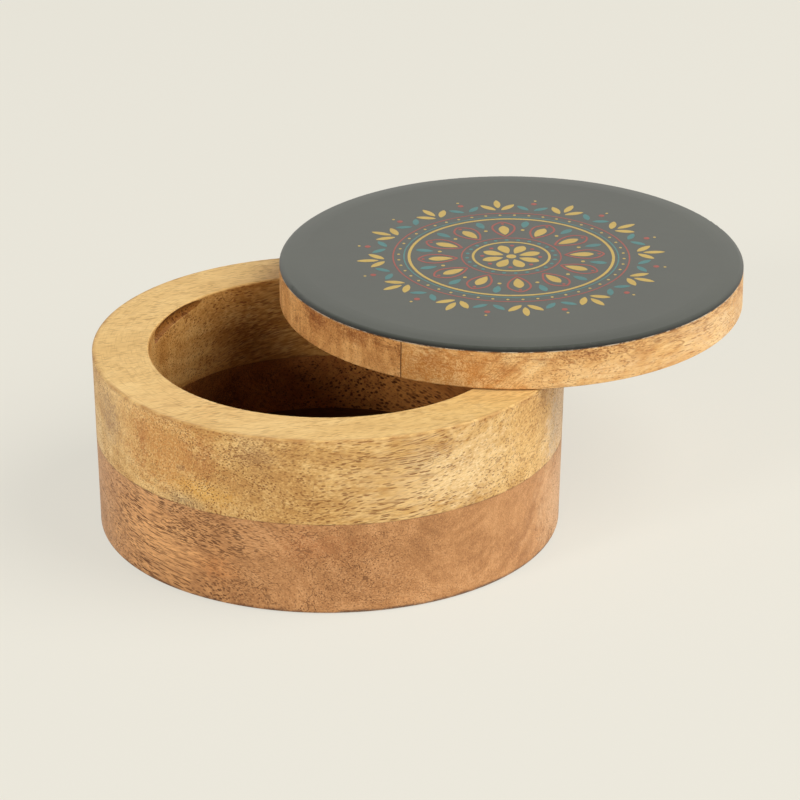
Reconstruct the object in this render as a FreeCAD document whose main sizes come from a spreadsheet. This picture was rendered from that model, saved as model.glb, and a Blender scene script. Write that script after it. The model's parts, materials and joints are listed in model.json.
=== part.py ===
import FreeCAD, Part

import os
import re

import Sketcher

# A round turned box of two glued boards, with an enamelled lid that swings on a pivot in the back wall.
# Millimetres and degrees. The origin is the centre of the base, +Z up, +Y to the back, at the pivot.
DIMENSIONS = {
    # Wall and floor
    "bore_radius": 48.7,
    "wall_thick": 14.05,
    "rim_flare": 1.25,
    "lower_height": 26.1,
    "upper_height": 24.3,
    "lip_height": 2.5,
    "lip_width": 3.0,
    "floor_thick": 7.5,
    "floor_clearance": 0.1,
    "base_round": 1.0,
    "rim_round": 0.5,
    # Cutter mark inside the rim
    "mark_radius": 2.4,
    "mark_depth": 1.2,
    "mark_drop": 1.2,
    "mark_offcentre": 8.0,
    "mark_azimuth": 165.0,
    "mark_sweep": 34.0,
    "mark_tilt": 4.0,
    # Lid, as wide as the rim, in its closed place before it is swung
    "lid_thick": 10.5,
    "lid_round": 0.4,
    "lid_joint_offset": 3.3,
    "ground_thick": 0.25,
    "enamel_thick": 1.4,
    "enamel_edge": 0.1,
    "enamel_nose": 1.2,
    "enamel_crown": 5.3,
    "crown_fall": 0.4,
    "lid_gap": 0.35,
    "lid_swing": 63.6,
    # Pivot hardware
    "screw_radius": 2.0,
    "head_radius": 3.5,
    "head_height": 2.6,
    "socket_radius": 1.45,
    "socket_depth": 1.4,
    "counterbore_depth": 6.0,
    "counterbore_clearance": 0.3,
    "washer_radius": 4.0,
    "washer_thick": 0.8,
    "sleeve_wall": 0.95,
    "press_clearance": 0.02,
    "running_clearance": 0.05,
    "insert_wall": 1.6,
    "insert_length": 7.5,
    "screw_short": 0.5,
}

# Sizes that follow from the driving ones
DERIVED = {
    "base_radius": "bore_radius + wall_thick",
    "rim_radius": "base_radius + rim_flare",
    "rim_height": "lower_height + upper_height",
    "seam_radius": "base_radius + rim_flare * lower_height / rim_height",
    "lip_radius": "bore_radius - lip_width",
    "pivot_radius": "(bore_radius + rim_radius) / 2",
    "lid_base": "rim_height + lid_gap",
    "ground_base": "lid_base + lid_thick",
    "enamel_base": "ground_base + ground_thick",
    "sleeve_bore": "screw_radius + running_clearance",
    "sleeve_radius": "sleeve_bore + sleeve_wall",
    "sleeve_top": "lid_base - running_clearance",
    "sleeve_hole": "sleeve_radius + press_clearance",
    "counterbore_radius": "washer_radius + counterbore_clearance",
    "head_top": "counterbore_depth - washer_thick - running_clearance",
    "insert_bore": "screw_radius + press_clearance",
    "insert_radius": "screw_radius + insert_wall",
    "insert_hole": "insert_radius + press_clearance",
    "insert_top": "lid_base + insert_length",
    "screw_top": "insert_top - screw_short",
    "mark_reach": "bore_radius + mark_depth - mark_radius",
    "mark_turn": "mark_reach - mark_offcentre",
    "mark_fall": "mark_turn * sin(mark_sweep * 1 deg) * sin(mark_tilt * 1 deg)",
    "enamel_high": "enamel_base + enamel_thick",
    "crown_curve": "(enamel_crown ^ 2 + crown_fall ^ 2) / (2 * crown_fall)",
    "nose_fall": "enamel_thick - enamel_edge - crown_fall",
    "nose_lean": "atan(nose_fall / enamel_nose) - asin(enamel_crown / crown_curve)",
    "nose_curve": "sqrt(enamel_nose ^ 2 + nose_fall ^ 2) / (2 * sin(nose_lean))",
}

# How far a cutting tool starts outside the face that it opens, and how close two lengths count as equal
TOOL_START = 1.0
SAME_LENGTH = 1e-4

document = FreeCAD.newDocument("SwivelBox")
sheet = document.addObject("Spreadsheet::Sheet", "sizes")


def bound(text):
    """The expression with each size written as a cell of the sheet."""
    return re.sub(r"[a-z]+(?:_[a-z]+)+", lambda found: "sizes." + found.group(), text)


def fill_sheet():
    """Writes the driving sizes as numbers and the derived ones as formulas."""
    rows = {name: str(value) for name, value in DIMENSIONS.items()}
    rows.update({name: "=" + formula for name, formula in DERIVED.items()})
    for row, (name, text) in enumerate(rows.items(), start=1):
        sheet.set(f"A{row}", name)
        sheet.set(f"B{row}", text)
        sheet.setAlias(f"B{row}", name)
    document.recompute()


def number(text):
    """The present value of an expression."""
    return float(sheet.evalExpression(bound(text)))


def new_body(label):
    body = document.addObject("PartDesign::Body", label)
    body.Label = label
    return body


def new_sketch(body, name, role):
    """A sketch on one of the body's own origin planes."""
    plane = next(item for item in body.Origin.OriginFeatures if item.Role == role)
    sketch = body.newObject("Sketcher::SketchObject", name)
    sketch.AttachmentSupport = (plane, "")
    sketch.MapMode = "FlatFace"
    return sketch


def tie(sketch, constraint, text):
    """Adds a constraint whose size follows an expression."""
    index = sketch.addConstraint(constraint)
    sketch.setExpression(f"Constraints[{index}]", bound(text))


def pin_point(sketch, side, across, along):
    """Fixes the start of a side at a pair of expressions, measured from the origin."""
    for kind, axis, text in (("DistanceX", -2, across), ("DistanceY", -1, along)):
        if text == "0":
            sketch.addConstraint(Sketcher.Constraint("PointOnObject", side, 1, axis))
        else:
            tie(sketch, Sketcher.Constraint(kind, -1, 1, side, 1, number(text)), text)


def join_ends(sketch, pieces):
    """Joins each piece of an outline to the next one."""
    for piece, following in zip(pieces, pieces[1:] + pieces[:1]):
        sketch.addConstraint(Sketcher.Constraint("Coincident", piece, 2, following, 1))


def bulge(start, stop, radius):
    """An arc between two points, bulging to the right of the way from one to the other."""
    chord = stop - start
    sagitta = radius - (radius ** 2 - chord.Length ** 2 / 4) ** 0.5
    outward = FreeCAD.Vector(chord.y, -chord.x, 0).normalize()
    return Part.Arc(start, (start + stop) / 2 + outward * sagitta, stop)


def turned(label, corners, arcs=None):
    """A body turned about Z from a closed outline of (radius, height) expressions, run anticlockwise.

    A corner's index in arcs makes the side after that corner an arc of the given radius.
    """
    arcs = arcs or {}
    body = new_body(label)
    sketch = new_sketch(body, label + "_outline", "XZ_Plane")
    points = [FreeCAD.Vector(number(radius), number(height), 0) for radius, height in corners]
    sides = []
    for index, (start, stop) in enumerate(zip(points, points[1:] + points[:1])):
        curve = bulge(start, stop, number(arcs[index])) if index in arcs else Part.LineSegment(start, stop)
        sides.append(sketch.addGeometry(curve, False))
    join_ends(sketch, sides)
    for side, (radius, height) in zip(sides, corners):
        pin_point(sketch, side, radius, height)
    for index, radius in arcs.items():
        tie(sketch, Sketcher.Constraint("Radius", sides[index], number(radius)), radius)
    turn = body.newObject("PartDesign::Revolution", label + "_turned")
    turn.Profile = sketch
    turn.ReferenceAxis = (sketch, ["V_Axis"])
    turn.Angle = 360
    document.recompute()
    return body


def round_edges(body, chosen, radius):
    """Rounds the edges of the body that the test picks."""
    base = body.Tip
    names = [f"Edge{i}" for i, edge in enumerate(base.Shape.Edges, start=1) if chosen(edge)]
    fillet = body.newObject("PartDesign::Fillet", body.Label + "_rounded")
    fillet.Base = (base, names)
    fillet.setExpression("Radius", bound(radius))
    document.recompute()


def is_circle(edge, radius, height):
    """Whether an edge is an arc about Z of this radius at this height."""
    if not isinstance(edge.Curve, Part.Circle):
        return False
    off_centre = edge.Curve.Center.distanceToPoint(FreeCAD.Vector(0, 0, number(height)))
    return max(abs(edge.Curve.Radius - number(radius)), off_centre) < SAME_LENGTH


def place(feature, across, along, height):
    """Ties a feature's place to expressions."""
    for axis, text in (("x", across), ("y", along), ("z", height)):
        feature.setExpression(f"Placement.Base.{axis}", bound(text))


def drill(body, name, radius, bottom, top):
    """A hole about the pivot axis, from just under one height to another."""
    hole = body.newObject("PartDesign::SubtractiveCylinder", name)
    hole.setExpression("Radius", bound(radius))
    hole.setExpression("Height", bound(f"{top} - {bottom} + {TOOL_START}"))
    place(hole, "0", "pivot_radius", f"{bottom} - {TOOL_START}")
    document.recompute()


def swing(body):
    """Turns a piece of the closed lid about the pivot axis to its open place."""
    body.setExpression("Placement.Base.x", bound("pivot_radius * sin(lid_swing * 1 deg)"))
    body.setExpression("Placement.Base.y", bound("pivot_radius * (1 - cos(lid_swing * 1 deg))"))
    body.setExpression("Placement.Rotation.Angle", bound("lid_swing"))
    return body


def at_pivot(body):
    """Stands a turned piece on the pivot axis."""
    body.setExpression("Placement.Base.y", bound("pivot_radius"))
    return body


def lower_ring():
    body = turned("lower_ring", [
        ("lip_radius", "0"),
        ("base_radius", "0"),
        ("seam_radius", "lower_height"),
        ("bore_radius", "lower_height"),
        ("bore_radius", "lip_height"),
        ("lip_radius", "lip_height"),
    ])
    round_edges(body, lambda edge: is_circle(edge, "base_radius", "0"), "base_round")
    drill(body, "sleeve_hole_lower", "sleeve_hole", "0", "lower_height")
    drill(body, "counterbore", "counterbore_radius", "0", "counterbore_depth")
    return body


def upper_ring():
    body = turned("upper_ring", [
        ("bore_radius", "lower_height"),
        ("seam_radius", "lower_height"),
        ("rim_radius", "rim_height"),
        ("bore_radius", "rim_height"),
    ])
    for radius in ("bore_radius", "rim_radius"):
        round_edges(body, lambda edge: is_circle(edge, radius, "rim_height"), "rim_round")
    drill(body, "sleeve_hole_upper", "sleeve_hole", "lower_height", "rim_height")
    cut_mark(body)
    return body


def cut_mark(body):
    """The crescent that the hollowing cutter left inside the rim: low and deep at its blunt end,
    rising and running out at the other."""
    across = "cos(mark_azimuth * 1 deg)"
    along = "sin(mark_azimuth * 1 deg)"
    lean = FreeCAD.Rotation(FreeCAD.Vector(1, 0, 0), -number("mark_tilt"))
    turn = FreeCAD.Rotation(FreeCAD.Vector(0, 0, 1), number("mark_azimuth - mark_sweep"))
    crescent = body.newObject("PartDesign::SubtractiveTorus", "mark_crescent")
    crescent.Placement = FreeCAD.Placement(FreeCAD.Vector(), turn * lean)
    crescent.setExpression("Radius1", bound("mark_turn"))
    crescent.setExpression("Radius2", bound("mark_radius"))
    crescent.setExpression("Angle3", bound("mark_sweep"))
    place(crescent, f"mark_offcentre * {across}", f"mark_offcentre * {along}", "rim_height - mark_drop")
    document.recompute()
    end = body.newObject("PartDesign::SubtractiveSphere", "mark_end")
    end.setExpression("Radius", bound("mark_radius"))
    place(end, f"mark_reach * {across}", f"mark_reach * {along}", "rim_height - mark_drop - mark_fall")
    document.recompute()


def floor_disc():
    return turned("floor_disc", [
        ("0", "lip_height"),
        ("bore_radius - floor_clearance", "lip_height"),
        ("bore_radius - floor_clearance", "lip_height + floor_thick"),
        ("0", "lip_height + floor_thick"),
    ])


def lid_board(label, toward_back):
    """One board of the lid: the part of the disc on one side of the glue line."""
    body = new_body(label)
    sketch = new_sketch(body, label + "_outline", "XY_Plane")
    radius = number("rim_radius")
    offset = number("lid_joint_offset")
    half = (radius ** 2 - offset ** 2) ** 0.5
    ends = [FreeCAD.Vector(half, offset, 0), FreeCAD.Vector(-half, offset, 0)]
    crown = FreeCAD.Vector(0, radius, 0)
    if not toward_back:
        ends.reverse()
        crown = FreeCAD.Vector(0, -radius, 0)
    arc = sketch.addGeometry(Part.Arc(ends[0], crown, ends[1]), False)
    joint = sketch.addGeometry(Part.LineSegment(ends[1], ends[0]), False)
    join_ends(sketch, [arc, joint])
    sketch.addConstraint(Sketcher.Constraint("Coincident", arc, 3, -1, 1))
    sketch.addConstraint(Sketcher.Constraint("Horizontal", joint))
    tie(sketch, Sketcher.Constraint("Radius", arc, radius), "rim_radius")
    tie(sketch, Sketcher.Constraint("DistanceY", -1, 1, joint, 1, offset), "lid_joint_offset")
    sketch.setExpression("AttachmentOffset.Base.z", bound("lid_base"))
    pad = body.newObject("PartDesign::Pad", label + "_pad")
    pad.Profile = sketch
    pad.setExpression("Length", bound("lid_thick"))
    document.recompute()
    round_edges(body, lambda edge: is_circle(edge, "rim_radius", "lid_base"), "lid_round")
    if toward_back:
        drill(body, "insert_hole_lid", "insert_hole", "lid_base", "insert_top")
    return swing(body)


def enamel_ground():
    return swing(turned("enamel_ground", [
        ("0", "ground_base"),
        ("rim_radius", "ground_base"),
        ("rim_radius", "enamel_base"),
        ("0", "enamel_base"),
    ]))


def enamel_top():
    """The poured enamel: a flat field that falls off in a wide shallow arc and then rolls over at the edge."""
    return swing(turned("enamel_top", [
        ("0", "enamel_base"),
        ("rim_radius", "enamel_base"),
        ("rim_radius", "enamel_base + enamel_edge"),
        ("rim_radius - enamel_nose", "enamel_high - crown_fall"),
        ("rim_radius - enamel_nose - enamel_crown", "enamel_high"),
        ("0", "enamel_high"),
    ], arcs={2: "nose_curve", 3: "crown_curve"}))


def pivot_sleeve():
    return at_pivot(turned("pivot_sleeve", [
        ("sleeve_bore", "counterbore_depth"),
        ("sleeve_radius", "counterbore_depth"),
        ("sleeve_radius", "sleeve_top"),
        ("sleeve_bore", "sleeve_top"),
    ]))


def screw_washer():
    return at_pivot(turned("screw_washer", [
        ("sleeve_bore", "counterbore_depth - washer_thick"),
        ("washer_radius", "counterbore_depth - washer_thick"),
        ("washer_radius", "counterbore_depth"),
        ("sleeve_bore", "counterbore_depth"),
    ]))


def pivot_screw():
    body = turned("pivot_screw", [
        ("0", "head_top - head_height"),
        ("head_radius", "head_top - head_height"),
        ("head_radius", "head_top"),
        ("screw_radius", "head_top"),
        ("screw_radius", "screw_top"),
        ("0", "screw_top"),
    ])
    socket = body.newObject("PartDesign::SubtractivePrism", "hex_socket")
    socket.Polygon = 6
    socket.setExpression("Circumradius", bound("socket_radius"))
    socket.setExpression("Height", bound(f"socket_depth + {TOOL_START}"))
    place(socket, "0", "0", f"head_top - head_height - {TOOL_START}")
    document.recompute()
    return at_pivot(body)


def lid_insert():
    return at_pivot(turned("lid_insert", [
        ("insert_bore", "lid_base"),
        ("insert_radius", "lid_base"),
        ("insert_radius", "insert_top"),
        ("insert_bore", "insert_top"),
    ]))


def check(pieces):
    """Stops before anything is written if an object failed or a piece is not one sound solid."""
    for item in document.Objects:
        if "Invalid" in item.State or "Error" in item.State:
            raise RuntimeError(f"{item.Label} failed: {item.State}")
    for piece in pieces:
        if piece.Shape.isNull() or not piece.Shape.isValid() or len(piece.Shape.Solids) != 1:
            raise RuntimeError(f"{piece.Label} is not one sound solid")


fill_sheet()
pieces = [
    lower_ring(),
    upper_ring(),
    floor_disc(),
    pivot_sleeve(),
    screw_washer(),
    lid_board("lid_front_board", toward_back=False),
    lid_board("lid_back_board", toward_back=True),
    enamel_ground(),
    enamel_top(),
    lid_insert(),
    pivot_screw(),
]
document.recompute()
check(pieces)
os.makedirs("parts", exist_ok=True)
for piece in pieces:
    piece.Shape.exportStep(f"parts/{piece.Label}.step")
    print(piece.Label, round(piece.Shape.Volume, 1), piece.Shape.BoundBox)
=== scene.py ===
import json
import math
from dataclasses import dataclass
from typing import Callable

import bmesh
import bpy
from mathutils import Matrix, Vector


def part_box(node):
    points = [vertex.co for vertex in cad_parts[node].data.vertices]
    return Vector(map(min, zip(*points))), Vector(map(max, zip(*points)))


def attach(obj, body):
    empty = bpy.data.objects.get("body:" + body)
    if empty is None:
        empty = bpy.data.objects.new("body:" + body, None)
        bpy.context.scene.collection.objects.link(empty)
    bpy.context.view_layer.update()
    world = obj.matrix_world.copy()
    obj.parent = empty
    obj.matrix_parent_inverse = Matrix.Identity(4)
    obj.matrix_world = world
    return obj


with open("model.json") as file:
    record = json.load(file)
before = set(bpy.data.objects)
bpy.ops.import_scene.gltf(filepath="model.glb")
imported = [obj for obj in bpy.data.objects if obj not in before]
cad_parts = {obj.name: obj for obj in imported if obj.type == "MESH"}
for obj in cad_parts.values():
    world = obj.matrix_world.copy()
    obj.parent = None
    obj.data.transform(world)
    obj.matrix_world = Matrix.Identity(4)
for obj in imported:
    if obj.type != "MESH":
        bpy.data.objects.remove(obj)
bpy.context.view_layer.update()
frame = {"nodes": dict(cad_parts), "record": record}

MM = 0.001
UP = Vector((0, 0, 1))
MIDDLE = Vector((0, 0, 0))

# Places that the model gives, in millimetres
SEAM_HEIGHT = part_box("upper_ring")[0].z / MM
RIM_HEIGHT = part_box("upper_ring")[1].z / MM
RIM_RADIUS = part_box("upper_ring")[1].x / MM
BASE_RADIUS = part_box("lower_ring")[1].x / MM
HOLLOW_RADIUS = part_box("floor_disc")[1].x / MM
FLOOR_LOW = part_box("floor_disc")[0].z / MM
ENAMEL_LOW, ENAMEL_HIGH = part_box("enamel_top")
LID_CENTRE = (ENAMEL_LOW + ENAMEL_HIGH) / 2 / MM
LID_TOP = ENAMEL_HIGH.z / MM
LID_WOOD_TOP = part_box("lid_front_board")[1].z / MM

# How far the lid is swung from closed, and how far the joint of its boards lies from its middle
LID_SWING = -math.radians(frame["record"]["behaviour"]["joints"][0]["range_deg"][0])
LID_JOINT_OFFSET = 3.3


def tint(red, green, blue):
    """A display colour, 0 to 255, as the linear colour that shaders use."""
    def linear(value):
        value /= 255
        return value / 12.92 if value <= 0.04045 else ((value + 0.055) / 1.055) ** 2.4
    return linear(red), linear(green), linear(blue)


class Field:
    """A value that changes over a surface. Arithmetic on it adds Math nodes to its tree."""

    def __init__(self, nodes, socket):
        self.nodes = nodes
        self.socket = socket

    def calc(self, operation, *values):
        return self.nodes.node("ShaderNodeMath", {"operation": operation}, dict(enumerate(values)))

    def __add__(self, other):
        return self.calc("ADD", self, other)

    def __sub__(self, other):
        return self.calc("SUBTRACT", self, other)

    def __rsub__(self, other):
        return self.calc("SUBTRACT", other, self)

    def __mul__(self, other):
        return self.calc("MULTIPLY", self, other)

    def __truediv__(self, other):
        return self.calc("DIVIDE", self, other)

    def __pow__(self, other):
        return self.calc("POWER", self, other)

    def __abs__(self):
        return self.calc("ABSOLUTE", self)

    __radd__ = __add__
    __rmul__ = __mul__

    def larger(self, other):
        return self.calc("MAXIMUM", self, other)

    def contours(self, step, width):
        """Thin lines where the value passes a multiple of this step."""
        return self.calc("PINGPONG", self, step / 2).rise(width, width / 3)

    def rise(self, start, stop):
        """From 0 at start to 1 at stop, smoothly. A start above stop gives a fall."""
        ends = {"From Min": min(start, stop), "From Max": max(start, stop)}
        ends["To Min"] = float(start > stop)
        ends["To Max"] = float(start < stop)
        settings = {"interpolation_type": "SMOOTHSTEP"}
        return self.nodes.node("ShaderNodeMapRange", settings, {"Value": self, **ends})


class Nodes:
    """A node tree under construction."""

    def __init__(self, tree):
        self.tree = tree
        tree.nodes.clear()

    def node(self, kind, settings, sockets, output=0):
        """Adds a node, gives it its settings, then the values or links of its sockets."""
        node = self.tree.nodes.new(kind)
        for key, value in settings.items():
            if key == "stops":
                self.fill_ramp(node.color_ramp, value)
            else:
                setattr(node, key, value)
        for key, value in sockets.items():
            if isinstance(value, Field):
                self.tree.links.new(value.socket, node.inputs[key])
            else:
                node.inputs[key].default_value = value
        return Field(self, node.outputs[output]) if node.outputs else None

    @staticmethod
    def fill_ramp(ramp, stops):
        while len(ramp.elements) < len(stops):
            ramp.elements.new(0.5)
        for element, (position, colour) in zip(ramp.elements, stops):
            element.position = position
            element.color = (*colour, 1)

    def vector(self, operation, first, second=(0, 0, 0), output="Vector"):
        sockets = {0: first, 1: second}
        return self.node("ShaderNodeVectorMath", {"operation": operation}, sockets, output)

    def parts(self, place):
        return [self.node("ShaderNodeSeparateXYZ", {}, {"Vector": place}, axis) for axis in "XYZ"]

    def blend(self, factor, first, second, mode="MIX"):
        """One colour over another."""
        sockets = {0: factor, 6: self.opaque(first), 7: self.opaque(second)}
        return self.node("ShaderNodeMix", {"data_type": "RGBA", "blend_type": mode}, sockets, 2)

    @staticmethod
    def opaque(colour):
        return colour if isinstance(colour, Field) else (*colour, 1)

    def ramp(self, value, stops):
        return self.node("ShaderNodeValToRGB", {"stops": stops}, {"Fac": value})

    def seen(self):
        """1 for what the camera sees, straight or in gloss and glass, 0 for what lights the object."""
        ways = ("Is Camera Ray", "Is Glossy Ray", "Is Transmission Ray")
        straight, gloss, glass = [self.node("ShaderNodeLightPath", {}, {}, way) for way in ways]
        return straight.larger(gloss).larger(glass)


class Finish(Nodes):
    """A material under construction, on places in millimetres."""

    def __init__(self, name):
        self.material = bpy.data.materials.new(name)
        self.material.use_nodes = True
        super().__init__(self.material.node_tree)
        place = self.node("ShaderNodeTexCoord", {}, {}, "Object")
        self.place = self.vector("DIVIDE", place, (MM, MM, MM))

    def cells(self, place, size):
        """Sockets of a texture whose lumps have this size, one number or one for each way."""
        size = size if isinstance(size, tuple) else (size, size, size)
        return {"Vector": self.vector("DIVIDE", place, size), "Scale": 1.0}

    def cloud(self, place, size, detail=2.0, roughness=0.5, output="Fac"):
        """Soft noise."""
        sockets = {**self.cells(place, size), "Detail": detail, "Roughness": roughness}
        return self.node("ShaderNodeTexNoise", {}, sockets, output)

    def specks(self, place, size, share):
        """Separate specks, one in each cell of this size, filling this share of its width."""
        away = self.node("ShaderNodeTexVoronoi", {}, self.cells(place, size), "Distance")
        return away.rise(share * 1.25, share * 0.75)

    def bump(self, height, depth):
        """A normal from a height of 0 to 1 that stands for this depth."""
        sockets = {"Height": height, "Distance": depth * MM, "Strength": 1.0}
        return self.node("ShaderNodeBump", {}, sockets)

    def show(self, shader):
        self.node("ShaderNodeOutputMaterial", {}, {"Surface": shader})
        return self.material

    def surface(self, sockets):
        return self.show(self.node("ShaderNodeBsdfPrincipled", {}, sockets))


# Sizes of the noises that make wood, along, across and up the grain
SWAY_SIZE = (60, 24, 24)
SWAY_REACH = (0, 9, 9)
DRIFT_SIZE = (40, 12, 12)
BLOTCH_SIZE = (30, 12, 12)
MOTTLE_SIZE = (8, 2.6, 2.6)
FIBRE_SIZE = (3, 0.42, 0.42)
STREAK_SIZE = (9, 1.1, 1.1)
CROWD_SIZE = (26, 7, 7)
LINE_SIZE = (34, 3.6, 3.6)
RAG_SIZE = 5.0

# How far the growth bands drift, in bands, how much blotches and mottle count in the ground tone,
# and how deep the pores are
BAND_DRIFT = 1.5
BLOTCH_SHARE = 0.55
MOTTLE_SHARE = 0.35
PORE_DEPTH = 0.09

# A factor that leaves a colour as it is
PLAIN = (1, 1, 1)


def no_marks(wood):
    return []


@dataclass
class Board:
    """What sets one board apart. A patch is its middle and its half sizes, both in millimetres."""

    # The turn of the grain about Z, its dip, its shift, and the heart of the tree across and up the grain
    turn: float
    dip: float
    shift: tuple
    heart: tuple
    # The width of a growth band, and how much bands and fibre count in the tone
    ring: float
    band_share: float
    # Pale, main and deep tones
    colours: tuple
    # Layers of pores: the cell, the share of it that a pore fills, the strength, and the patch or None
    pores: tuple
    pore_tone: tuple
    pore_share: float
    fibre_share: float = 0.5
    # Patches with growth lines and patches with fewer pores, each with a strength
    figure: tuple = ()
    calm: tuple = ()
    # Stain patches, some of them painted light and some painted shade: the shade, the patch and the
    # strength
    stains_and_painted_light: tuple = ()
    # Factors of painted shade for the hollow, and for the cutter mark in it: its own darker colour with
    # painted shade on its ledge
    inside: tuple = PLAIN
    dug_mark_and_shade: tuple = PLAIN
    # The height of the top, where pores are fewer, and the tone of painted light on it. The default lies
    # above all bare wood
    top_height: float = LID_TOP
    top_light_tone: tuple = PLAIN
    marks: Callable = no_marks


class Wood(Finish):
    """A pored hardwood in the round, cut from a board."""

    def __init__(self, name, board):
        super().__init__(name)
        self.board = board
        across, along, self.height = self.parts(self.place)
        self.radius = (across ** 2 + along ** 2) ** 0.5
        self.top = self.height.rise(board.top_height - 0.6, board.top_height - 0.2)
        self.rag = self.cloud(self.place, RAG_SIZE, detail=3.0, roughness=0.6)
        self.grain = self.swayed_grain()
        self.bands = self.growth_bands()
        self.blotch = self.cloud(self.grain, BLOTCH_SIZE, roughness=0.55)
        self.fibre = self.cloud(self.grain, FIBRE_SIZE, detail=1.0, roughness=0.6)
        self.threads = 0.4 + self.fibre.rise(0.4, 0.6) * 0.6

    def swayed_grain(self):
        """Places along, across and up the grain, which waves a little."""
        rotation = (0, math.radians(self.board.dip), math.radians(self.board.turn))
        sockets = {"Vector": self.place, "Location": self.board.shift, "Rotation": rotation}
        grain = self.node("ShaderNodeMapping", {"vector_type": "TEXTURE"}, sockets)
        sway = self.cloud(grain, SWAY_SIZE, detail=1.0, output="Color")
        sway = self.vector("SUBTRACT", sway, (0.5, 0.5, 0.5))
        return self.vector("ADD", grain, self.vector("MULTIPLY", sway, SWAY_REACH))

    def growth_bands(self):
        """Uneven bands about the heart of the tree."""
        across, up = self.parts(self.grain)[1:]
        heart_across, heart_up = self.board.heart
        reach = ((across - heart_across) ** 2 + (up - heart_up) ** 2) ** 0.5
        turn = reach / self.board.ring + self.cloud(self.grain, DRIFT_SIZE) * BAND_DRIFT
        sockets = {"W": turn, "Scale": 1.0, "Detail": 2.0, "Roughness": 0.6}
        return self.node("ShaderNodeTexNoise", {"noise_dimensions": "1D"}, sockets)

    def patch(self, centre, size, tear=1.0):
        """Distance from the middle of an oval patch, about 1 at its torn border."""
        away = self.vector("DIVIDE", self.vector("SUBTRACT", self.place, centre), size)
        return self.vector("LENGTH", away, output="Value") + (self.rag - 0.5) * tear

    def ground(self):
        """The tone that growth bands, blotches, mottle and fibre make."""
        band_share, fibre_share = self.board.band_share, self.board.fibre_share
        mottle = self.cloud(self.grain, MOTTLE_SIZE, roughness=0.55) * MOTTLE_SHARE
        tone = self.bands * band_share + self.blotch * BLOTCH_SHARE + mottle + self.fibre * fibre_share
        middle = (band_share + BLOTCH_SHARE + MOTTLE_SHARE + fibre_share) / 2
        pale, main, deep = self.board.colours
        return self.ramp(tone - middle + 0.5, [(0.34, pale), (0.5, main), (0.68, deep)])

    def with_stains_and_painted_light(self, colour):
        """Stain patches, with the painted light and shade among them, lie under the pores, torn along the
        grain.
        """
        streak = self.cloud(self.grain, STREAK_SIZE, roughness=0.6)
        for shade, centre, size, share in self.board.stains_and_painted_light:
            reach = self.patch(centre, size, tear=1.3) + (streak - 0.5) * 1.6
            colour = self.blend(reach.rise(1.1, 0.1) * self.threads * share, colour, shade)
        return colour

    def pores(self):
        """Dashes along the grain, dots across it, here and there a longer dark line or a growth line."""
        crowd = self.cloud(self.grain, CROWD_SIZE).rise(0.36, 0.6)
        line_noise = self.cloud(self.grain, LINE_SIZE, detail=1.0)
        pores = abs(line_noise - 0.5).rise(0.012, 0.003) * crowd * 0.7
        for centre, size, share in self.board.figure:
            lines = self.bands.contours(step=0.1, width=0.016) * self.threads * share
            pores = pores.larger(lines * self.patch(centre, size).rise(1.1, 0.5))
        for cell, width, strength, where in self.board.pores:
            layer = self.specks(self.grain, cell, width) * (0.6 + crowd * 0.4) * strength
            if where:
                layer = layer * self.patch(*where).rise(1.2, 0.6)
            pores = pores.larger(layer)
        pores = pores * (1 - self.top * 0.45)
        for centre, size, share in self.board.calm:
            pores = pores * (1 - self.patch(centre, size).rise(1.2, 0.4) * share)
        return pores

    def hollow_shaded(self, colour):
        """Painted shade in the hollow, most of all in the cutter mark, which also has its own darker
        colour.
        """
        hollow = self.radius.rise(HOLLOW_RADIUS + 3, HOLLOW_RADIUS + 2)
        hollow = hollow * self.height.rise(RIM_HEIGHT, RIM_HEIGHT - 0.6)
        hollow = hollow * self.height.rise(FLOOR_LOW + 0.5, FLOOR_LOW + 1.5)
        colour = self.blend(hollow, colour, self.board.inside, "MULTIPLY")
        dug_mark_and_shade = hollow * self.radius.rise(HOLLOW_RADIUS + 0.08, HOLLOW_RADIUS + 0.2)
        return self.blend(dug_mark_and_shade, colour, self.board.dug_mark_and_shade, "MULTIPLY")


def oiled_wood(name, board):
    """A board with its stain patches, painted light on its top, pores, painted shade in its hollow, seams
    and darker edges.
    """
    wood = Wood(name, board)
    pores = wood.pores()
    colour = wood.with_stains_and_painted_light(wood.ground())
    # Painted light on the top
    colour = wood.blend(wood.top * 0.55, colour, board.top_light_tone)
    colour = wood.blend(pores * board.pore_share, colour, board.pore_tone)
    # Painted shade in the hollow and the cutter mark
    colour = wood.hollow_shaded(colour)
    for shade, mask in board.marks(wood):
        colour = wood.blend(mask, colour, shade)
    return wood.surface({
        "Base Color": colour,
        "Roughness": 0.42 + wood.blotch * 0.14 + pores * 0.2,
        "Normal": wood.bump(wood.fibre * 0.3 - pores, PORE_DEPTH),
        "Specular IOR Level": 0.35,
        "Coat Weight": 0.06,
        "Coat Roughness": 0.3,
    })


def seam_line(wood):
    """The dark glue line between the two rings."""
    return abs(wood.height - SEAM_HEIGHT).rise(0.35, 0.05) * wood.rag.rise(0.3, 0.7) * 0.6


# Turning marks: how many lumps of them lie around the box, and their spacing in millimetres
TURNING_LUMPS = (9, 9, 0)
TURNING_PITCH = 0.45


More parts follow.
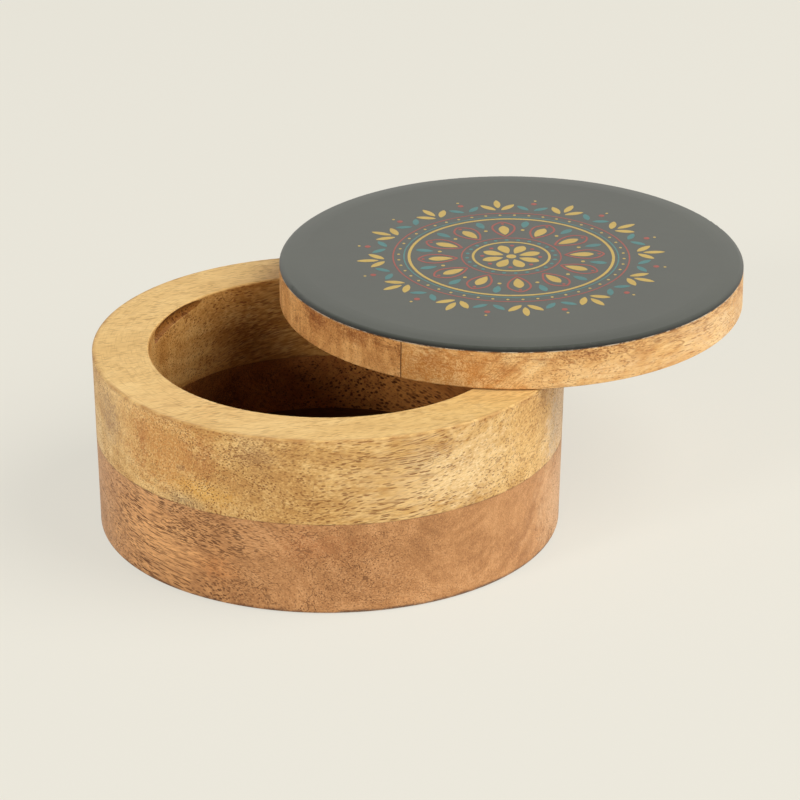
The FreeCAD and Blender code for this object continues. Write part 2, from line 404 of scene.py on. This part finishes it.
def upper_marks(wood):
    """Turning marks on the rim, its browned outer edge, and the glue line."""
    edge = abs(wood.radius - RIM_RADIUS).larger(abs(wood.height - RIM_HEIGHT)).rise(1.5, 0.2)
    around = wood.vector("NORMALIZE", wood.vector("MULTIPLY", wood.place, (1, 1, 0)))
    around = wood.vector("MULTIPLY", around, TURNING_LUMPS)
    turning = wood.node("ShaderNodeCombineXYZ", {}, {"Z": wood.radius / TURNING_PITCH})
    turning = wood.cloud(wood.vector("ADD", around, turning), size=1.0, roughness=0.6)
    return [
        (tint(176, 130, 68), turning.rise(0.5, 0.75) * wood.top * 0.4),
        (tint(158, 100, 50), edge * wood.rag.rise(0.3, 0.7) * 0.6),
        (tint(100, 68, 42), seam_line(wood)),
    ]


def lower_marks(wood):
    """The glue line, and the dark foot."""
    foot = wood.height.rise(1.6, 0.3) * wood.radius.rise(BASE_RADIUS - 2.0, BASE_RADIUS - 0.8)
    return [
        (tint(82, 50, 32), seam_line(wood)),
        (tint(84, 50, 32), foot * wood.rag.rise(0.3, 0.6) * 0.85),
    ]


def lid_marks(wood):
    """Sanding streaks, the browned upper edge, and the glue joint of the two boards."""
    side = (-math.sin(LID_SWING), math.cos(LID_SWING), 0)
    away = wood.vector("SUBTRACT", wood.place, LID_CENTRE)
    offset = wood.vector("DOT_PRODUCT", away, side, "Value") - LID_JOINT_OFFSET
    sanding = wood.cloud(wood.place, size=(5, 5, 0.4), detail=1.0)
    streaks = wood.cloud(wood.place, size=(5, 5, 1.1), detail=3.0, roughness=0.65)
    browned = wood.height.rise(LID_WOOD_TOP - 5, LID_WOOD_TOP) * streaks.rise(0.45, 0.68)
    return [
        (tint(176, 112, 56), sanding.rise(0.5, 0.75) * 0.45),
        (tint(120, 68, 32), browned * 0.65),
        (tint(70, 40, 24), abs(offset + (wood.rag - 0.5) * 0.8).rise(0.22, 0.1) * 0.85),
    ]


BOARDS = {
    "upper_ring": Board(
        turn=17, dip=-6, shift=(13, 0, 4), heart=(12, -46), ring=3.4, band_share=0.25,
        colours=(tint(230, 194, 132), tint(210, 167, 102), tint(182, 134, 72)),
        pores=(
            ((4.4, 0.64, 0.64), 0.3, 1.0, None),
            ((2.6, 0.5, 0.5), 0.28, 0.4, None),
        ),
        pore_tone=tint(128, 80, 40), pore_share=0.85,
        figure=(((23, -59, 45), (13, 9, 6), 0.9),),
        calm=(
            ((-50, -38, 40), (18, 20, 18), 0.4),
            ((48, -42, 40), (26, 26, 16), 0.25),
        ),
        stains_and_painted_light=(
            (tint(196, 134, 68), (-43, -46, 41), (26, 26, 18), 0.8),
            (tint(246, 218, 168), (32, -54, 37), (28, 22, 16), 0.85),
            (tint(172, 108, 54), (-49, -40, 40), (3.5, 3.5, 10), 0.55),
            (tint(180, 134, 78), (-16, -61, 38), (22, 14, 18), 0.6),
            (tint(166, 104, 54), (-33, -54, 41), (8, 8, 7), 0.55),
            (tint(140, 106, 78), (-19, -60.5, 46), (7, 7, 6), 0.45),
            (tint(228, 174, 74), (-34, -54, 31.5), (12, 10, 4), 0.5),
            (tint(132, 116, 92), (-38.5, -50, 27.5), (10, 10, 3), 0.6),
            # The next three are painted reflection on the far left and far right of the wall and painted
            # sheen on the right
            (tint(150, 126, 104), (-58, -25.5, 41), (8, 10, 10), 0.55),
            (tint(240, 220, 190), (61, -14, 36), (9, 18, 20), 0.8),
            (tint(164, 146, 128), (60, -20.5, 36), (4, 5, 12), 0.5),
            (tint(95, 70, 55), (-39, -50, 37), (2, 2, 1.2), 0.5),
            # Painted shade of the lid on the inner back wall
            (tint(140, 90, 34), (-20, 45, 34), (24, 12, 15), 0.7),
            (tint(190, 146, 88), (10, -63, 36), (18, 12, 16), 0.55),
        ),
        # Painted shade in the hollow; the cutter mark has its own darker colour and painted shade on its
        # ledge
        inside=(0.87, 0.76, 0.63), dug_mark_and_shade=(0.45, 0.34, 0.24),
        # Painted light on the rim's top
        top_height=RIM_HEIGHT, top_light_tone=tint(242, 206, 136), marks=upper_marks,
    ),
    "lower_ring": Board(
        turn=-46, dip=7, shift=(-20, 31, 0), heart=(-20, 52), ring=3.0, band_share=0.25,
        colours=(tint(208, 156, 106), tint(188, 136, 87), tint(164, 114, 70)),
        pores=(
            ((9.5, 0.62, 0.62), 0.27, 1.05, ((-43, -46, 14), (30, 26, 24))),
            ((5.4, 0.54, 0.54), 0.27, 0.9, ((-40, -50, 14), (30, 24, 24))),
            ((4.4, 0.6, 0.6), 0.28, 0.75, None),
            ((3.0, 0.9, 0.9), 0.32, 1.1, ((14, 46, 17), (34, 14, 16))),
            ((2.2, 0.42, 0.42), 0.28, 0.4, None),
        ),
        pore_tone=tint(92, 54, 28), pore_share=0.9,
        calm=(((44, -44, 14), (34, 34, 30), 0.7),),
        stains_and_painted_light=(
            # Painted sheen on the right of the wall
            (tint(232, 190, 146), (60, -14, 13), (12, 24, 20), 0.8),
            (tint(170, 104, 58), (-4, -63, 19.5), (16, 10, 6), 0.55),
            (tint(160, 110, 66), (9, -63, 11), (24, 10, 12), 0.7),
            (tint(206, 132, 70), (-31, -55, 10), (9, 8, 6), 0.45),
            (tint(150, 105, 72), (-39, -49, 16.5), (10, 10, 6), 0.45),
            (tint(66, 40, 28), (-40.7, -48.6, 17.2), (3.2, 3.2, 3.0), 0.75),
            (tint(92, 58, 36), (-46, -43.7, 5.5), (4.5, 4.5, 1.8), 0.6),
            # Painted shade deep in the hollow
            (tint(86, 48, 20), (-32, 36, 18), (22, 18, 14), 0.8),
            (tint(238, 178, 116), (-47, -42, 13), (26, 26, 18), 0.8),
            # Painted light on the inner back wall under the lid
            (tint(234, 182, 118), (20, 45, 17), (24, 12, 14), 0.85),
        ),
        # Painted shade in the hollow
        inside=(0.64, 0.48, 0.3), marks=lower_marks,
    ),
    "floor_disc": Board(
        turn=5, dip=2, shift=(50, -20, 10), heart=(8, -60), ring=3.2, band_share=0.4,
        # These tones are darkened as painted shade of the hollow, and the factor below adds more painted
        # shade
        colours=(tint(120, 82, 48), tint(100, 64, 36), tint(78, 48, 26)),
        pores=(((5.0, 0.66, 0.66), 0.27, 1.0, None),),
        pore_tone=tint(62, 36, 20), pore_share=0.8,
        inside=(0.6, 0.54, 0.46),
    ),
    "lid_front_board": Board(
        turn=42, dip=5, shift=(30, 20, 0), heart=(-80, 36), ring=2.8, band_share=0.35, fibre_share=0.3,
        colours=(tint(240, 202, 142), tint(224, 176, 112), tint(198, 142, 80)),
        pores=(
            ((6.0, 0.6, 0.6), 0.26, 0.8, None),
            ((2.4, 0.5, 0.5), 0.26, 0.5, None),
            ((1.7, 0.5, 0.5), 0.3, 1.0, ((64, -31, 59.8), (24, 10, 3))),
        ),
        pore_tone=tint(140, 84, 42), pore_share=0.75,
        figure=(((43, -34, 55), (10, 8, 8), 0.6),),
        calm=(((26, -27, 56), (18, 14, 14), 0.4),),
        stains_and_painted_light=(
            (tint(192, 124, 54), (28, -28, 55), (24, 14, 10), 0.85),
            # Painted sheen on the far right edge
            (tint(200, 170, 130), (113, 12, 56), (12, 20, 10), 0.6),
            (tint(170, 108, 52), (28, -28, 57), (9, 8, 4), 0.6),
            (tint(244, 212, 160), (76, -27, 54), (26, 10, 4), 0.6),
            (tint(226, 194, 152), (104, -6, 56), (20, 22, 10), 0.6),
            (tint(166, 110, 62), (67, -29.5, 59.5), (14, 8, 3.5), 0.4),
            (tint(176, 124, 76), (86, -21, 59.5), (16, 9, 3), 0.35),
        ),
        marks=lid_marks,
    ),
    "lid_back_board": Board(
        turn=50, dip=-4, shift=(-40, 10, 20), heart=(30, 34), ring=3.2, band_share=0.35, fibre_share=0.3,
        colours=(tint(236, 184, 118), tint(216, 160, 96), tint(180, 122, 66)),
        pores=(
            ((3.4, 0.7, 0.7), 0.28, 1.0, None),
            ((2.4, 0.5, 0.5), 0.26, 0.5, None),
        ),
        pore_tone=tint(112, 62, 28), pore_share=0.75,
        calm=(((6, -10, 56), (24, 24, 20), 0.3),),
        stains_and_painted_light=(
            (tint(134, 70, 30), (-3, -2, 59.5), (8, 8, 4), 0.85),
            (tint(138, 74, 30), (7.5, -14.5, 59.5), (8, 8, 4), 0.85),
        ),
        marks=lid_marks,
    ),
}

# Enamel: its two greys, its dust, and the painted shade on its rolled lower edge
ENAMEL_GREYS = [(0.3, (0.061, 0.066, 0.058)), (0.7, (0.077, 0.083, 0.072))]
ENAMEL_DUST = (0.3, 0.3, 0.28)
ENAMEL_NOSE_SHADE = (0.012, 0.012, 0.011)


def charcoal_enamel():
    """Poured satin enamel: near black, with faint clouds, dust specks and a soft orange peel."""
    finish = Finish("charcoal_enamel")
    cloud = finish.cloud(finish.place, size=30, detail=3.0, roughness=0.55)
    dust = finish.specks(finish.place, size=2.4, share=0.07)
    peel = finish.cloud(finish.place, size=4, detail=1.0)
    colour = finish.ramp(cloud, ENAMEL_GREYS)
    colour = finish.blend(dust * 0.25, colour, ENAMEL_DUST)
    # Painted shade on the rolled edge below the top
    nose_shade = finish.parts(finish.place)[2].rise(LID_TOP - 0.35, LID_TOP - 1.15)
    colour = finish.blend(nose_shade * 0.85, colour, ENAMEL_NOSE_SHADE)
    return finish.surface({
        "Base Color": colour,
        "Roughness": 0.32 + cloud * 0.1 + dust * 0.2,
        "Normal": finish.bump(peel, depth=0.02),
        "Specular IOR Level": 0.5,
    })


def pale_ground():
    """The chalky coat between wood and enamel, chipped in places."""
    finish = Finish("pale_ground")
    chips = finish.cloud(finish.place, size=3.5, detail=3.0, roughness=0.65)
    stops = [(0.42, tint(110, 74, 46)), (0.52, tint(176, 156, 132)), (0.7, tint(205, 194, 176))]
    return finish.surface({
        "Base Color": finish.ramp(chips, stops),
        "Roughness": 0.7 + chips * 0.2,
        "Normal": finish.bump(chips, depth=0.05),
    })


def printed_ink(name, colour, worn):
    """Opaque ink under the satin, a little mottled."""
    finish = Finish(name)
    mottle = finish.cloud(finish.place, size=1.6, detail=3.0, roughness=0.65)
    wash = finish.cloud(finish.place, size=20, detail=1.0)
    shade = finish.blend(mottle.rise(0.5, 0.75) * 0.5, colour, worn)
    shade = finish.blend(wash.rise(0.45, 0.7) * 0.3, shade, worn)
    return finish.surface({
        "Base Color": shade,
        "Roughness": 0.3 + mottle * 0.12,
        "Normal": finish.bump(mottle, depth=0.01),
        "Specular IOR Level": 0.5,
    })


def turned_metal(name, colour, tarnish, roughness):
    """Plated or bare metal with turning marks and a little tarnish."""
    finish = Finish(name)
    cloud = finish.cloud(finish.place, size=4, detail=3.0, roughness=0.6)
    lathe = finish.cloud(finish.place, size=(4, 4, 0.12), detail=1.0)
    return finish.surface({
        "Base Color": finish.blend(cloud.rise(0.45, 0.75) * 0.6, colour, tarnish),
        "Metallic": 1.0,
        "Roughness": roughness + cloud * 0.15 + lathe * 0.08,
        "Normal": finish.bump(lathe, depth=0.01),
    })


def dress(nodes, material):
    """Gives nodes of the model their finish."""
    for node in nodes:
        for slot in frame["nodes"][node].material_slots:
            slot.material = material


def dress_model():
    """Gives every node of the model its finish."""
    for node, board in BOARDS.items():
        dress([node], oiled_wood(node + "_wood", board))
    dress(["enamel_top"], charcoal_enamel())
    dress(["enamel_ground"], pale_ground())
    brass = turned_metal(
        "turned_brass", colour=(0.78, 0.56, 0.24), tarnish=(0.42, 0.27, 0.11), roughness=0.28,
    )
    dress(["pivot_sleeve", "lid_insert"], brass)
    steel = turned_metal(
        "zinc_steel", colour=(0.62, 0.62, 0.63), tarnish=(0.36, 0.36, 0.35), roughness=0.34,
    )
    dress(["pivot_screw", "screw_washer"], steel)


def add_object(name, mesh, material):
    """Turns a finished bmesh into an object of the scene."""
    data = bpy.data.meshes.new(name)
    mesh.to_mesh(data)
    mesh.free()
    data.materials.append(material)
    piece = bpy.data.objects.new(name, data)
    bpy.context.scene.collection.objects.link(piece)
    return piece


# Print, in millimetres: how deep it reaches into the enamel and how far it stands proud
INK_SINK = 0.03
INK_RISE = 0.02

# Sides of its round shapes, and how near two points count as one
DOT_SIDES = 20
PETAL_SIDES = 40
BAND_SIDES = 128
SAME_POINT = 1e-5


class Stencil:
    """Shapes of one ink, cut in millimetres about the middle of the lid and repeated around it."""

    def __init__(self, name, ink):
        self.name = name
        self.ink = ink
        self.mesh = bmesh.new()

    def turn(self, verts, angle):
        bmesh.ops.rotate(self.mesh, verts=verts, cent=MIDDLE, matrix=Matrix.Rotation(angle, 3, "Z"))

    def shift(self, verts, way):
        bmesh.ops.translate(self.mesh, verts=verts, vec=way)

    def around(self, verts, count, start):
        """Turns new shapes to a start angle and repeats them around the middle."""
        self.turn(verts, start)
        if count == 1:
            return
        faces = list({face for vert in verts for face in vert.link_faces})
        bmesh.ops.spin(
            self.mesh, geom=verts + faces, cent=MIDDLE, axis=UP, steps=count - 1,
            angle=math.tau * (count - 1) / count, use_duplicate=True,
        )

    def disc(self, radius, sides):
        made = bmesh.ops.create_circle(self.mesh, cap_ends=True, radius=radius, segments=sides)
        return made["verts"]

    def dots(self, at, size, count=1, start=0.0):
        made = self.disc(size, DOT_SIDES)
        self.shift(made, (at, 0, 0))
        self.around(made, count, start)

    def band(self, inner, outer):
        ends = [self.mesh.verts.new((radius, 0, 0)) for radius in (inner, outer)]
        edge = self.mesh.edges.new(ends)
        bmesh.ops.spin(
            self.mesh, geom=ends + [edge], cent=MIDDLE, axis=UP, steps=BAND_SIDES,
            angle=math.tau, use_merge=True,
        )

    def petals(self, inner, outer, width, count, start=0.0, fat=0.0, lean=0.0, line=None):
        """Leaves from an inner to an outer radius: fat moves the wide part outwards, lean tilts them,
        and a line width leaves only their outline."""
        half = (outer - inner) / 2
        made = self.disc(1.0, PETAL_SIDES)
        for vert in made:
            point = 1 - abs(vert.co.x) ** 3
            vert.co.y *= width / 2 * (1 + fat * vert.co.x) * (0.55 + 0.45 * point)
            vert.co.x *= half
        self.turn(made, lean)
        self.shift(made, (inner + half, 0, 0))
        if line:
            face = made[0].link_faces[0]
            bmesh.ops.inset_individual(self.mesh, faces=[face], thickness=line)
            rim = {vert for side in made for linked in side.link_faces for vert in linked.verts}
            bmesh.ops.delete(self.mesh, geom=[face], context="FACES_ONLY")
            made = list(rim)
        self.around(made, count, start)

    def thicken(self):
        """Faces the flat shapes upwards and draws them up into a thin print."""
        mesh = self.mesh
        bmesh.ops.remove_doubles(mesh, verts=mesh.verts[:], dist=SAME_POINT)
        bmesh.ops.recalc_face_normals(mesh, faces=mesh.faces[:])
        for face in mesh.faces:
            if face.normal.z < 0:
                face.normal_flip()
        flat = mesh.faces[:]
        raised = bmesh.ops.extrude_face_region(mesh, geom=flat)["geom"]
        tops = [item for item in raised if isinstance(item, bmesh.types.BMVert)]
        self.shift(tops, (0, 0, INK_SINK + INK_RISE))
        bmesh.ops.reverse_faces(mesh, faces=flat)

    def lay(self):
        """Lays the print on the swung lid."""
        self.thicken()
        verts = self.mesh.verts[:]
        self.turn(verts, LID_SWING)
        self.shift(verts, (LID_CENTRE.x, LID_CENTRE.y, LID_TOP - INK_SINK))
        bmesh.ops.scale(self.mesh, verts=verts, vec=(MM, MM, MM))
        piece = add_object(self.name, self.mesh, self.ink)
        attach(piece, "lid")


def draw_rosette():
    """A round folk ornament: a daisy, beads, arched petals and a wreath of leaves and berries."""
    gold_ink = printed_ink("gold_ink", colour=(0.54, 0.37, 0.075), worn=(0.42, 0.27, 0.05))
    red_ink = printed_ink("brick_ink", colour=(0.33, 0.055, 0.035), worn=(0.24, 0.035, 0.025))
    teal_ink = printed_ink("teal_ink", colour=(0.05, 0.19, 0.19), worn=(0.035, 0.13, 0.135))
    gold = Stencil("gold_print", gold_ink)
    red = Stencil("red_print", red_ink)
    teal = Stencil("teal_print", teal_ink)
    daisy_count = 8
    petal_count = 12
    half_step = math.tau / petal_count / 2

    # Daisy and beads
    gold.dots(at=0, size=1.4)
    gold.petals(2.4, 8.4, width=3.0, count=daisy_count, fat=0.35)
    red.dots(at=8.0, size=0.6, count=daisy_count, start=math.tau / daisy_count / 2)
    gold.band(10.2, 10.9)
    teal.dots(at=12.2, size=0.55, count=petal_count * 2)
    red.band(13.5, 13.9)

    # Arched petals
    red.petals(14.7, 26.0, width=6.6, count=petal_count, fat=0.3, line=0.55)
    gold.petals(16.2, 22.9, width=2.8, count=petal_count, fat=0.3)
    teal.petals(21.8, 26.7, width=2.1, count=petal_count, start=half_step, fat=0.2)
    gold.dots(at=20.0, size=0.55, count=petal_count, start=half_step)
    red.dots(at=24.4, size=0.5, count=petal_count)

    # Border
    gold.band(27.8, 28.6)
    teal.band(29.4, 29.8)
    gold.dots(at=31.1, size=0.42, count=petal_count * 4)
    red.band(32.4, 32.8)

    # Wreath
    for side in (1, -1):
        gold_start = side * 0.075
        teal_start = half_step + side * 0.07
        gold.petals(34.4, 40.0, width=2.0, count=petal_count, start=gold_start, lean=side * 0.7)
        teal.petals(34.4, 39.1, width=1.8, count=petal_count, start=teal_start, lean=side * 0.8)
    gold.petals(36.7, 42.7, width=1.9, count=petal_count)
    red.dots(at=40.3, size=0.83, count=petal_count, start=half_step)
    gold.dots(at=42.7, size=0.4, count=petal_count, start=half_step)
    for ink in (gold, red, teal):
        ink.lay()


# Floor, in metres: it lies just under the base, so that the two faces don't share a plane
FLOOR_COLOUR = tint(222, 219, 208)
GLOW_COLOUR = tint(237, 234, 223)
FLOOR_GLOW = 0.75
FLOOR_REACH = 4.0
FLOOR_DROP = 0.05 * MM


def make_floor():
    """A pale seamless floor, half lit and half glowing for the camera, as a light table is."""
    finish = Finish("pale_floor")
    lit = finish.node("ShaderNodeBsdfDiffuse", {}, {"Color": (*FLOOR_COLOUR, 1)})
    glow = finish.node("ShaderNodeEmission", {}, {"Color": (*GLOW_COLOUR, 1)})
    sockets = {0: finish.seen() * FLOOR_GLOW, 1: lit, 2: glow}
    material = finish.show(finish.node("ShaderNodeMixShader", {}, sockets))
    mesh = bmesh.new()
    drop = Matrix.Translation(-UP * FLOOR_DROP)
    bmesh.ops.create_grid(mesh, x_segments=1, y_segments=1, size=FLOOR_REACH, matrix=drop)
    floor = add_object("floor", mesh, material)


def make_lamp(name, azimuth, elevation, distance, size, power, colour):
    """A round soft lamp that looks at the middle of the box and doesn't show in its gloss."""
    lamp = bpy.data.lights.new(name, "AREA")
    lamp.shape = "DISK"
    lamp.size = size
    lamp.energy = power
    lamp.color = colour
    azimuth, elevation = math.radians(azimuth), math.radians(elevation)
    level = math.cos(elevation)
    way = Vector((level * math.cos(azimuth), level * math.sin(azimuth), math.sin(elevation)))
    holder = bpy.data.objects.new(name, lamp)
    holder.location = way * distance
    holder.rotation_euler = (-way).to_track_quat("-Z", "Y").to_euler()
    holder.visible_glossy = False
    bpy.context.scene.collection.objects.link(holder)


# Room: what lights the box and what the camera and the gloss see, from the horizon up
ROOM_LIGHT = [
    (0.0, (0.85, 0.83, 0.80)),
    (0.25, (0.75, 0.73, 0.70)),
    (0.6, (0.06, 0.06, 0.06)),
    (1.0, (0.03, 0.03, 0.03)),
]
ROOM_SHOWN = [
    (0.0, (0.93, 0.92, 0.86)),
    (0.58, (0.9, 0.89, 0.83)),
    (0.85, (0.2, 0.2, 0.19)),
    (1.0, (0.12, 0.12, 0.12)),
]
ROOM_FRONT = (0.12, 0.12, 0.12)


def make_room():
    """A pale room, bright near the horizon, dim overhead and dim in front of the box."""
    world = bpy.data.worlds.new("pale_room")
    bpy.context.scene.world = world
    world.use_nodes = True
    room = Nodes(world.node_tree)
    direction = room.node("ShaderNodeTexCoord", {}, {}, "Generated")
    along, height = room.parts(direction)[1:]
    shown = room.blend(along.rise(0.0, -0.5) * 0.7, room.ramp(height, ROOM_SHOWN), ROOM_FRONT)
    colour = room.blend(room.seen(), room.ramp(height, ROOM_LIGHT), shown)
    background = room.node("ShaderNodeBackground", {}, {"Color": colour})
    room.node("ShaderNodeOutputWorld", {}, {"Surface": background})


# Camera: its place in metres, its lens and sensor in millimetres, and its turns in radians
CAMERA_PLACE = (0.0, -1.139, 0.535)
LENS = 205.9
SENSOR = 36.0
LOOK_DOWN = 0.4146
LOOK_RIGHT = 0.0169


def make_camera():
    """A long lens, looking down at the front of the box."""
    camera = bpy.data.cameras.new("camera")
    camera.lens = LENS
    camera.sensor_width = SENSOR
    holder = bpy.data.objects.new("camera", camera)
    holder.location = CAMERA_PLACE
    holder.rotation_euler = (math.pi / 2 - LOOK_DOWN, 0, -LOOK_RIGHT)
    bpy.context.scene.collection.objects.link(holder)
    bpy.context.scene.camera = holder


def make_studio():
    """A floor, two soft lamps from the right and the left front, a pale room and the camera."""
    make_floor()
    make_lamp(
        "key_lamp", azimuth=-15, elevation=47, distance=2.5, size=2.4,
        power=72, colour=(1.0, 0.97, 0.92),
    )
    make_lamp(
        "fill_lamp", azimuth=-138, elevation=24, distance=2.2, size=0.5,
        power=22, colour=(1.0, 0.98, 0.95),
    )
    make_room()
    make_camera()
    bpy.context.scene.view_settings.view_transform = "Standard"


dress_model()
draw_rosette()
make_studio()
